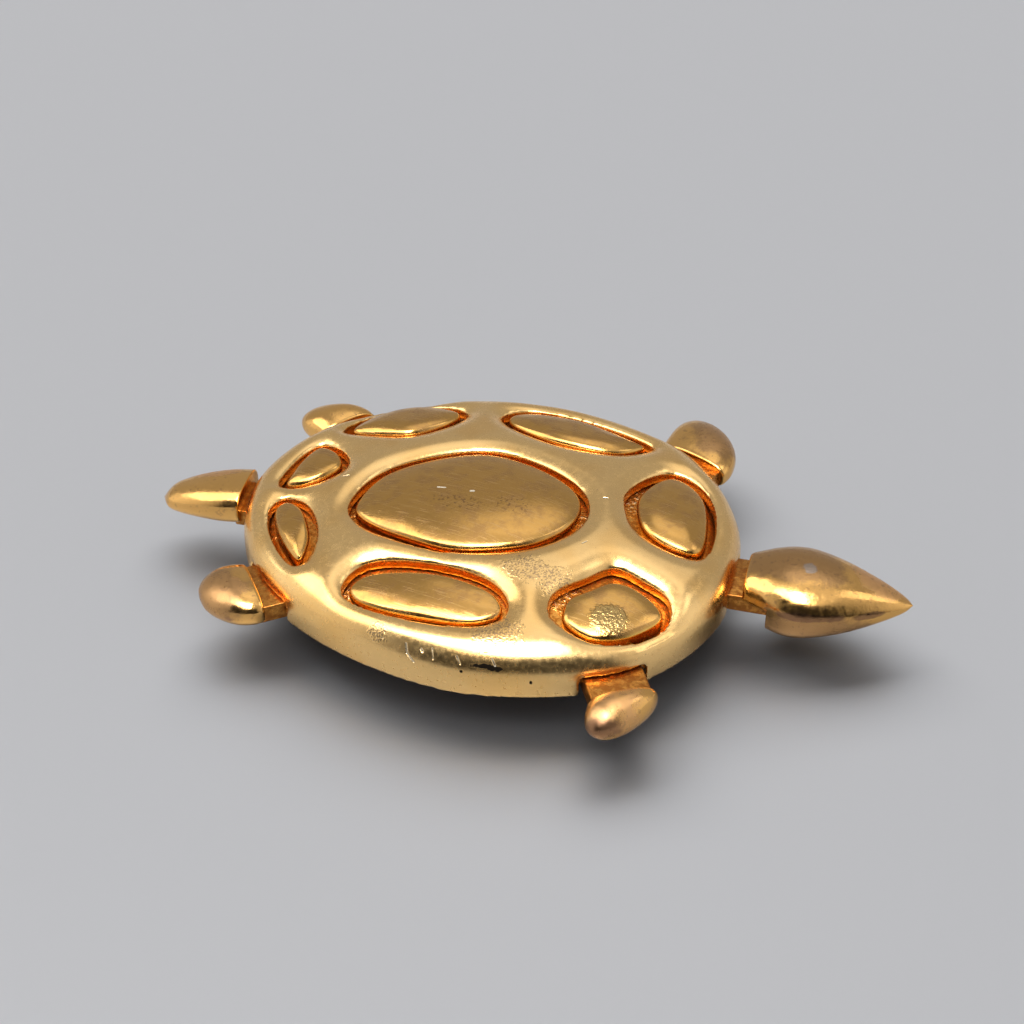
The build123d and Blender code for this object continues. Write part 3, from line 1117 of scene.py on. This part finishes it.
polishedLook = {
    "colour": (0.70, 0.385, 0.105),
    "worn": (0.57, 0.31, 0.10),
    "patch": (0.42, 0.29, 0.11),
    "stain": (0.25, 0.13, 0.06),
    "streak": (0.88, 0.60, 0.28),
    # the scutes' sides: a brighter gold, a painted highlight along their rims
    "side": (1.0, 0.62, 0.16),
    "scratch": (1.0, 0.9, 0.72),
    "show": {"patch": 0.8, "stain": 0.6, "streak": 0.16},
    "clouds": (0.9, 4.0, 0.6),
    "grain": (4.0, 2.0, 0.5),
    "wornFrom": (0.42, 0.66),
    "streaksAlong": {"Turn": 0.15, "Cover": 0.42},
    "streaksAcross": {"Turn": -0.7, "Cover": 0.36},
    "acrossShow": 0.7,
    "patchEdges": 0.7,  # how ragged the pitted patch and the stains are
    "stainEdges": 2.0,
    "stainSpecks": {"Scale": 4.0, "Cover": 0.43},
    "sideHighlightFrom": 0.76,  # how far below the dome the painted highlight on the scutes' sides begins
    "roughFrom": (0.35, 0.65),
    "roughness": (0.14, 0.25),
    "streakRough": 0.08,
    "scratchRough": 0.3,
    "patchDepth": 2.1,
    "grainDepth": 0.08,
    "bump": (0.5, 0.1),
}

# Scratches and spots on the scutes: from, to, width, and centre, half sizes
scuteScratches = [
    ((-6.35, -0.6, 8.7), (-5.8, -0.55, 8.7), 0.07),
    ((-3.9, -0.55, 8.8), (-3.7, -0.5, 8.8), 0.1),
    ((-0.4, 1.05, 8.6), (-0.05, 1.0, 8.6), 0.09),
    ((-2.1, 1.3, 8.7), (-1.95, 1.35, 8.7), 0.06),
    ((-2.5, -2.45, 8.65), (-1.9, -2.4, 8.65), 0.06),
    ((-10.0, -1.3, 8.2), (-6.6, -0.7, 8.65), 0.03),
    ((0.6, 0.2, 8.5), (2.2, 0.9, 8.3), 0.03),
    ((9.1, -7.9, 6.9), (9.6, -7.6, 6.9), 0.04),
]
scutePatches = [((8.2, -9.2, 6.75), (1.45, 1.3, 1.2))]
scuteStains = [((-4.6, -1.9, 8.6), (3.2, 1.3, 2.0)), ((-0.6, -1.2, 8.6), (2.4, 1.4, 2.0))]


def makePolished():
    material, tree, shader = newMaterial("polishedGold")
    look = polishedLook
    place = millimetres(tree)
    clouds, grain = (noiseNode(tree, place, *look[name]) for name in ("clouds", "grain"))
    along = effect(tree, "streak", place, **look["streaksAlong"])
    across = effect(tree, "streak", place, **look["streaksAcross"])
    streaks = strongest(tree, [along, times(tree, across, look["acrossShow"])])
    patch = spots(tree, place, scutePatches, wander(tree, grain, look["patchEdges"]))
    stains = spots(tree, place, scuteStains, wander(tree, grain, look["stainEdges"]))
    stains = times(tree, effect(tree, "speck", place, **look["stainSpecks"]), stains)
    lines = scratches(tree, place, scuteScratches)
    # painted highlight: the scutes' sides below the crown get the brighter gold
    sides = belowDome(tree, place, look["sideHighlightFrom"])
    colour = mixColour(tree, softStep(tree, clouds, *look["wornFrom"]), look["colour"], look["worn"])
    colour = layered(tree, colour, look, {"patch": patch, "stain": stains, "streak": streaks,
                                          "side": sides, "scratch": lines})
    rough = softStep(tree, clouds, *look["roughFrom"], *look["roughness"])
    rough = plus(tree, rough, times(tree, streaks, look["streakRough"]),
                 times(tree, lines, look["scratchRough"]))
    height = times(tree, grain, plus(tree, times(tree, patch, look["patchDepth"]), look["grainDepth"]))
    finishMetal(tree, shader, colour, rough, bumpFrom(tree, height, *look["bump"]))
    return material


limbLook = {
    "colour": (0.86, 0.48, 0.145),
    "copper": (0.77, 0.42, 0.17),
    # worn colour, also painted shade on the head's underside
    "worn": (0.53, 0.295, 0.12),
    "speck": (0.26, 0.13, 0.08),
    # dark colour of the stain marks, mostly painted dark reflections on the limbs' near sides
    "stain": (0.26, 0.13, 0.08),
    "blue": (0.45, 0.55, 0.62),
    "show": {"worn": 0.9, "speck": 0.3, "stain": 0.7, "blue": 0.35},
    "clouds": (0.7, 4.0, 0.62),
    "fine": (2.4, 3.0, 0.6),
    "copperFrom": (0.2, 0.6),
    "leastCopper": 0.5,
    "edges": 1.2,  # how uneven the patches are
    "blueEdges": 0.8,
    "specks": {"Scale": 2.8, "Cover": 0.36},
    "roughFrom": (0.3, 0.7),
    "roughness": (0.12, 0.25),
    "copperRough": 0.18,
    "cloudDepth": 0.6,
    "fineDepth": 0.06,
    "bump": (0.5, 0.1),
}

# Reddish wear and stains on the limbs, with painted shade and painted dark reflections on their near sides
# and undersides: centre, half sizes
copperPatches = [
    ((20.5, -3.2, 3.4), (5.5, 1.6, 1.0)),
    ((25.5, 1.2, 5.0), (2.8, 2.0, 1.6)),
    ((9.3, -15.6, 4.6), (2.8, 2.6, 2.2)),
    ((-19.6, -11.2, 5.0), (2.6, 1.8, 1.8)),
    ((-24.5, 1.2, 5.4), (3.0, 0.9, 1.0)),
    ((12.0, 15.5, 5.0), (2.2, 2.2, 1.6)),
]
wornAndShadedPatches = [
    ((19.4, 0.6, 6.3), (5.2, 2.6, 1.2)),
    # painted shade: darkens the head's underside
    ((21.5, -3.2, 2.9), (7.0, 3.2, 2.2)),
    ((8.9, -16.6, 4.6), (1.3, 1.4, 1.3)),
    ((-20.4, -11.8, 4.9), (3.6, 3.2, 2.6)),
    ((12.4, 15.6, 5.0), (3.4, 3.2, 2.6)),
]
blueSpots = [((20.7, -0.2, 6.45), (0.55, 0.6, 0.5))]
darkReflectionsAndStain = [
    # painted dark reflection on the near front leg's lower side
    ((9.5, -17.2, 4.0), (1.5, 1.2, 0.9)),
    # painted dark reflection: a dark band along the head's near side
    ((25.2, -2.0, 4.4), (2.2, 0.9, 0.3)),
    ((21.6, -3.4, 4.6), (3.6, 1.0, 0.32)),
    ((-18.2, -12.0, 3.8), (0.6, 0.8, 0.45)),
]


def makeLimbMetal():
    material, tree, shader = newMaterial("wornGoldAndPaintedShade")
    look = limbLook
    place = millimetres(tree)
    clouds, fine = (noiseNode(tree, place, *look[name]) for name in ("clouds", "fine"))
    edges = wander(tree, clouds, look["edges"])
    copper = times(tree, spots(tree, place, copperPatches, edges),
                   softStep(tree, clouds, *look["copperFrom"], look["leastCopper"]))
    # worn patches, and painted shade on the head's underside
    worn = spots(tree, place, wornAndShadedPatches, edges)
    # dark marks, mostly painted dark reflections on the limbs' near sides
    stains = spots(tree, place, darkReflectionsAndStain, edges)
    blue = spots(tree, place, blueSpots, wander(tree, fine, look["blueEdges"]))
    specks = effect(tree, "speck", place, **look["specks"])
    colour = mixColour(tree, copper, look["colour"], look["copper"])
    colour = layered(tree, colour, look, {"worn": worn, "speck": specks, "stain": stains, "blue": blue})
    rough = softStep(tree, fine, *look["roughFrom"], *look["roughness"])
    rough = plus(tree, rough, times(tree, copper, look["copperRough"]))
    height = plus(tree, times(tree, clouds, look["cloudDepth"]), times(tree, fine, look["fineDepth"]))
    finishMetal(tree, shader, colour, rough, bumpFrom(tree, height, *look["bump"]))
    return material


castLook = {
    # dark, red tones: painted shade for the floor of the openings
    "colour": (0.80, 0.36, 0.07),
    "paintedShade": (0.42, 0.15, 0.022),
    # a paler colour on the facets: painted glint
    "sparkle": (1.0, 0.72, 0.40),
    "noise": (3.2, 3.0, 0.6),
    "colourFrom": (0.4, 0.6),
    "sparkleFrom": (0.54, 0.62),
    "edges": 1.0,
    "roughFrom": (0.62, 0.4),
    "roughness": (0.28, 0.5),
    "depth": 0.5,
    "sparkleDepth": 1.6,
    "bump": (0.7, 0.12),
}

# Where the rough floor between the scutes and the shell has bigger facets that get a paler painted glint:
# centre, half sizes
sparklePlaces = [
    ((4.3, 0.2, 7.0), (0.9, 1.3, 1.5)),
    ((7.3, 4.2, 6.6), (1.1, 2.2, 1.5)),
    ((-17.9, -4.6, 5.9), (0.9, 2.2, 1.8)),
    ((5.0, -7.6, 6.4), (1.6, 1.4, 1.5)),
    ((-12.2, -2.6, 6.6), (0.8, 1.0, 1.5)),
    ((13.0, -1.0, 6.0), (1.0, 1.0, 1.5)),
    ((-10.1, -10.4, 5.6), (0.7, 1.0, 1.5)),
]


def makeCastMetal():
    # The casting's floor: rough, with dark colours that are painted shade in the recess under the shell,
    # and facets that sparkle in places with a paler painted glint
    material, tree, shader = newMaterial("castGold")
    look = castLook
    place = millimetres(tree)
    noise = noiseNode(tree, place, *look["noise"])
    lit = spots(tree, place, sparklePlaces, wander(tree, noise, look["edges"]))
    facets = times(tree, softStep(tree, noise, *look["sparkleFrom"]), lit)
    colour = mixColour(tree, softStep(tree, noise, *look["colourFrom"]), look["paintedShade"], look["colour"])
    colour = mixColour(tree, facets, colour, look["sparkle"])
    rough = softStep(tree, noise, *look["roughFrom"], *look["roughness"])
    height = times(tree, noise, plus(tree, times(tree, lit, look["sparkleDepth"]), look["depth"]))
    finishMetal(tree, shader, colour, rough, bumpFrom(tree, height, *look["bump"]))
    return material


tabLook = {
    # dark, red tones: painted shade under the shell's notches
    "colour": (0.62, 0.27, 0.055),
    "paintedShade": (0.36, 0.13, 0.025),
    "noise": (1.6, 3.0, 0.6),
    "darkFrom": (0.4, 0.6),
    "roughFrom": (0.35, 0.65),
    "roughness": (0.26, 0.42),
    "bump": (0.5, 0.12),
}


def makeTabMetal():
    # The tabs are smoother; their dark, red tones, mottled by a noise, are painted shade under the shell's
    # notches
    material, tree, shader = newMaterial("tabGold")
    look = tabLook
    noise = noiseNode(tree, millimetres(tree), *look["noise"])
    colour = mixColour(tree, softStep(tree, noise, *look["darkFrom"]), look["colour"], look["paintedShade"])
    rough = softStep(tree, noise, *look["roughFrom"], *look["roughness"])
    finishMetal(tree, shader, colour, rough, bumpFrom(tree, noise, *look["bump"]))
    return material


pinLook = {
    "colour": (0.72, 0.52, 0.27),
    "dull": (0.58, 0.40, 0.22),
    "noise": (0.8, 4.0, 0.6),
    "dullFrom": (0.4, 0.7),
    "drawn": (0.3, 9.0, 9.0),  # the drawn wire's lines, long along X and fine across
    "lines": (1.0, 2.0, 0.5),
    "roughFrom": (0.3, 0.7),
    "roughness": (0.22, 0.36),
    "bump": (0.3, 0.03),
}


def makePinMetal():
    material, tree, shader = newMaterial("pinMetal")
    look = pinLook
    place = millimetres(tree)
    noise = noiseNode(tree, place, *look["noise"])
    lines = noiseNode(tree, vectorNode(tree, "MULTIPLY", place, look["drawn"]), *look["lines"])
    colour = mixColour(tree, softStep(tree, noise, *look["dullFrom"]), look["colour"], look["dull"])
    rough = softStep(tree, lines, *look["roughFrom"], *look["roughness"])
    finishMetal(tree, shader, colour, rough, bumpFrom(tree, lines, *look["bump"]))
    return material


smoothAngle = 40  # degrees; sharper edges stay sharp


def dress(pieces, material, node):
    for piece in pieces:
        piece.data.materials.clear()
        piece.data.materials.append(material)
        select(piece)
        bpy.ops.object.shade_smooth_by_angle(angle=math.radians(smoothAngle))
        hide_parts(node)
        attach(piece, "root")


dress([shell], makeSatin(), "shell")
dress(scutes, makePolished(), "casting")
dress(bulbs, makeLimbMetal(), "casting")
dress([plate], makeCastMetal(), "casting")
dress(tabs, makeTabMetal(), "casting")
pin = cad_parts["pin_back"]
pin.data.materials.clear()
pin.data.materials.append(makePinMetal())
print("materials set")
